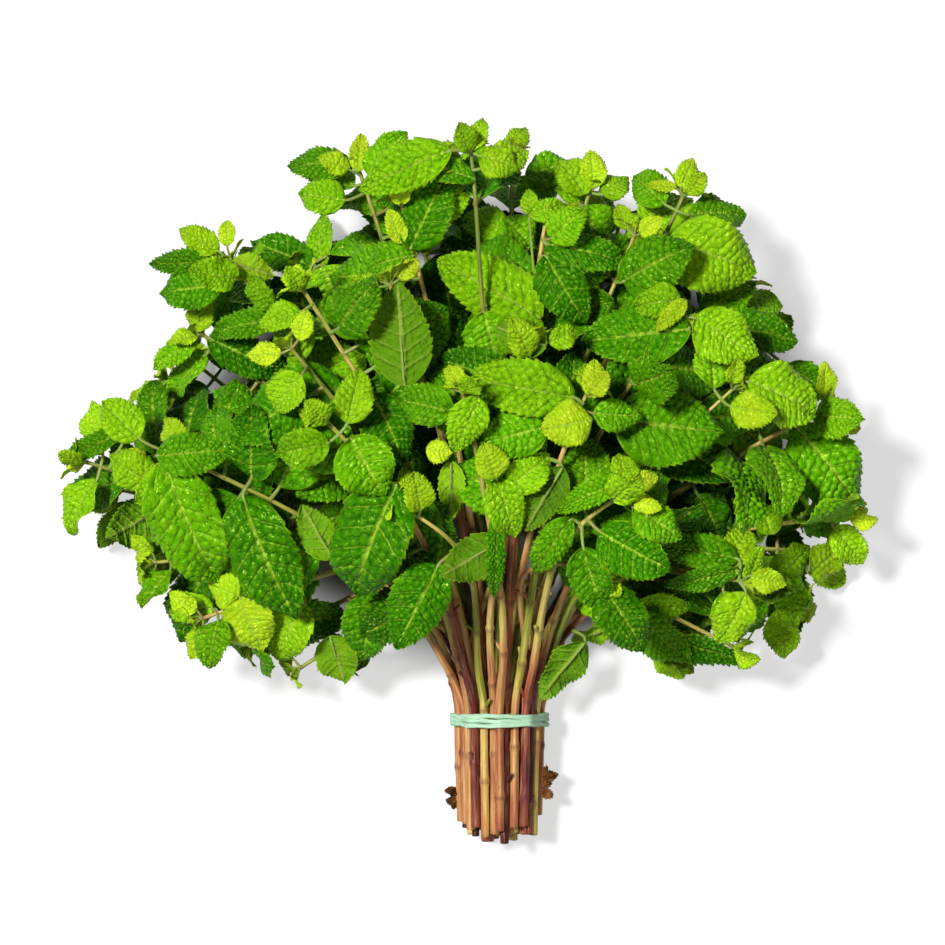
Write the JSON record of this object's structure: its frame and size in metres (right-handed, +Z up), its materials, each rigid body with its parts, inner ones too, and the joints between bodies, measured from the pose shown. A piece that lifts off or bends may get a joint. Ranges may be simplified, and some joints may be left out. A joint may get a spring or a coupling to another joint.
{
  "type": "bunch of mint",
  "caption": "Bunch of fresh mint lying on its side: leafy sprigs with quilted, toothed leaves fan out from bare stems held by a rubber band.",
  "frame": {"origin": "on the surface that the bunch lies on, under the middle of its bounding box", "axes": "+Z up from the surface, +Y from the cut ends to the leafy crown, +X across the fan of sprigs"},
  "size_m": [0.2996, 0.2642, 0.1172],
  "materials": {
    "leaf": "quilted, slightly glossy green leaf",
    "stem": "satin, straw yellow to plum stem",
    "rubber": "pale green stretched rubber"
  },
  "bodies": {
    "root": {"bare_stem_01": "stem", "bare_stem_02": "stem", "rubber_band": "rubber", "sprig_01": "leaf", "sprig_02": "leaf", "sprig_03": "leaf", "sprig_04": "leaf", "sprig_05": "leaf", "sprig_06": "leaf", "sprig_07": "leaf", "sprig_08": "leaf", "sprig_09": "leaf", "sprig_10": "leaf", "sprig_11": "leaf", "sprig_12": "leaf", "sprig_13": "leaf", "sprig_14": "leaf", "sprig_15": "leaf", "sprig_16": "leaf", "sprig_17": "leaf", "sprig_18": "leaf", "sprig_19": "leaf", "sprig_20": "leaf", "sprig_21": "leaf", "sprig_22": "leaf", "sprig_23": "leaf", "sprig_24": "leaf", "sprig_25": "leaf", "sprig_26": "leaf", "sprig_27": "leaf", "sprig_28": "leaf", "sprig_29": "leaf", "sprig_30": "leaf", "sprig_31": "leaf", "sprig_32": "leaf", "sprig_33": "leaf", "sprig_34": "leaf", "sprig_35": "leaf", "sprig_36": "leaf", "sprig_37": "leaf", "sprig_38": "leaf", "sprig_39": "leaf", "sprig_40": "leaf", "sprig_41": "leaf", "sprig_42": "leaf", "sprig_43": "leaf", "sprig_44": "leaf", "sprig_45": "leaf", "sprig_46": "leaf", "sprig_47": "leaf", "sprig_48": "leaf", "sprig_49": "leaf", "sprig_50": "leaf", "sprig_51": "leaf"}
  },
  "joints": []
}
